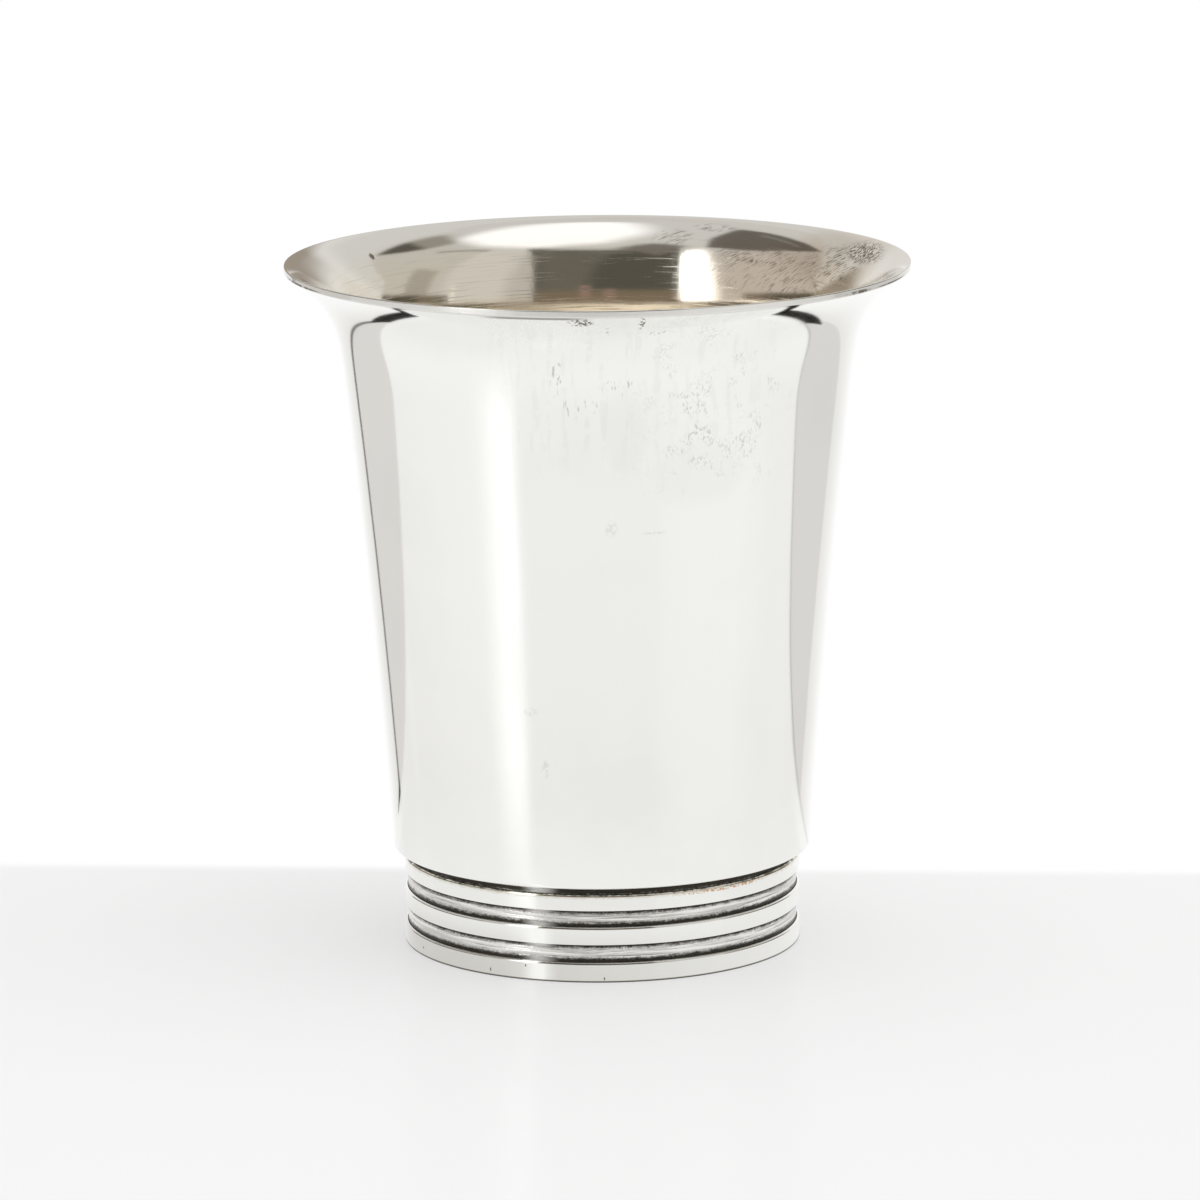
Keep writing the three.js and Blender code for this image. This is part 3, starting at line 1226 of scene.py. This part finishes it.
        # A painted reflection of the strip light on the table, seen only in the silver.
        strip_reflection = foot_side.window(*self.strip_reflection) * away.smooth(*self.strip_reflection_fade)
        far_strip_reflection = foot_side.window(*self.far_strip_reflection) * away.window(*self.far_strip_reflection_reach)
        strip_reflection = sheet.most(strip_reflection, self.far_strip_reflection_share * far_strip_reflection) * mirrored
        near = sheet.most(self.near_veil * away.smooth(*self.near_fade) * mirrored, strip_reflection)
        tone = sheet.blend(sheet.most(past, strip_reflection), self.table_tone, WHITE)
        share = seen * (self.table_veil + (1 - self.table_veil) * past) + near
        return sheet.close(sheet.wire("ShaderNodeMixShader", {}, {0: share, 1: top, 2: sheet.glow(tone)}))

    def _card_material(self) -> Material:
        """White card, greyer towards its sides and its top, with a dark line along its left edge.

        Returns:
            The material.
        """
        sheet = MaterialSheet("white_card")
        across, _, up = sheet.axes(sheet.coordinates("Object"))
        left, right = self.card_sides
        lit = across.smooth(*(left + step for step in self.card_left_fade))
        lit = lit * across.smooth(*(right + step for step in self.card_right_fade))
        edge_line = across.smooth(*(left + step for step in self.card_edge_fade))
        band = up.window(*self.card_band)
        tone = sheet.coats(
            self.card_shaded, (lit, WHITE), (up.smooth(*self.card_head_fade), self.card_head),
            (band * across.smooth(*self.card_left_half), self.card_left_band),
            (band * across.smooth(*self.card_right_half), self.card_right_band), (edge_line, self.card_edge))
        return sheet.close(sheet.glow(tone))

    def _shadow_sheet_material(self) -> Material:
        """A dark sheet of painted shadow under the card, behind the table."""
        sheet = MaterialSheet("painted_shadow_sheet")
        return sheet.close(sheet.glow(self.shadow_sheet_tone))

    def _stage(self) -> None:
        """Lay the table, and stand up the card and a dark sheet of painted shadow below it, which only the
        silver sees.
        """
        reach = self.table_reach
        self._sheet("table", [
            (-reach, -reach, 0.0), (reach, -reach, 0.0),
            (reach, self.table_back + self.table_skew * reach, 0.0),
            (-reach, self.table_back - self.table_skew * reach, 0.0)], self._table_material())
        (left, right), (left_low, right_low), place = self.card_sides, self.card_lows, self.card_place
        card = self._sheet("card", [
            (left, place, left_low), (right, place, right_low),
            (right, place, self.card_top), (left, place, self.card_top)], self._card_material())
        shadow_sheet = self._sheet("shadow_sheet", [
            (left, place, self.shadow_sheet_bottom), (self.shadow_sheet_right, place, self.shadow_sheet_bottom),
            (self.shadow_sheet_right, place, right_low), (left, place, left_low)], self._shadow_sheet_material())
        for piece in (card, shadow_sheet):
            piece.visible_camera = False
            piece.visible_diffuse = False
            piece.visible_shadow = False

    def _world(self) -> None:
        """White to the camera, even light for the table, and a room of soft greys in the silver."""
        world = bpy.data.worlds.new("room")
        bpy.context.scene.world = world
        world.use_nodes = True
        sheet = NodeSheet(world.node_tree)
        across, behind, up = sheet.axes(sheet.coordinates("Generated"))
        towards = -behind
        azimuth = sheet.degrees("ARCTAN2", across, towards)
        height = sheet.degrees("ARCSINE", up)
        steepness = up * up / (1 + self.pole_spare - up * up)
        tone: Wire | Colour = self.walls
        for patch in self.patches:
            left, right = patch.azimuths
            beyond_left = (azimuth + patch.bow * steepness).smooth(left - patch.soft, left + patch.soft)
            before_right = (azimuth - patch.bow * steepness).smooth(right + patch.soft, right - patch.soft)
            mask = beyond_left * before_right * height.window(*patch.heights, patch.soft)
            tone = sheet.blend(mask, tone, patch.tone)
        bowed = azimuth + self.strip_bow * steepness
        strip = bowed.smooth(*self.strip_left) * bowed.smooth(*self.strip_right)
        tone = sheet.blend(strip * height.window(*self.strip_heights), tone, self.strip)
        rise = sheet.math("MAXIMUM", up, self.least_rise)
        for patch in self.ceiling:
            mask = up.smooth(*self.ceiling_fade)
            for corner, following in zip(patch.corners, patch.corners[1:] + patch.corners[:1]):
                side = Vector(following) - Vector(corner)
                inwards = Vector((-side.y, side.x)).normalized()
                depth = (across * inwards.x + towards * inwards.y) / rise - inwards.dot(Vector(corner))
                mask = mask * depth.smooth(-patch.soft, patch.soft)
            tone = sheet.blend(mask, tone, patch.tone)
        seen = sheet.wire("ShaderNodeLightPath")
        light = sheet.coats(
            self.ambient, (seen.output("Is Glossy Ray"), tone), (seen.output("Is Camera Ray"), WHITE))
        background = sheet.wire("ShaderNodeBackground", {}, {"Color": light, "Strength": 1.0})
        sheet.node("ShaderNodeOutputWorld", {}, {"Surface": background})

    def _lamp(self) -> None:
        """A very wide soft lamp at the right, which throws the soft shadow to the left of the foot."""
        data = bpy.data.lights.new("soft_lamp", "SUN")
        data.angle = self.sun_width
        data.energy = self.sun_strength
        lamp = add_object("soft_lamp", data)
        lamp.matrix_world = looking(Vector(self.sun_from), Vector())
        lamp.visible_glossy = False

    def build(self) -> None:
        """Set up the whole studio."""
        bpy.context.scene.view_settings.view_transform = "Standard"
        self._camera()
        self._stage()
        self._world()
        self._lamp()


def main() -> None:
    """Build the studio, then the beaker from its cup to its foot."""
    logging.basicConfig(level=logging.INFO, format="%(message)s")
    Studio().build()
    lathe = Lathe()
    BeakerBody().build(lathe)
    BandedFoot().build(lathe)


if __name__ == "__main__":
    main()
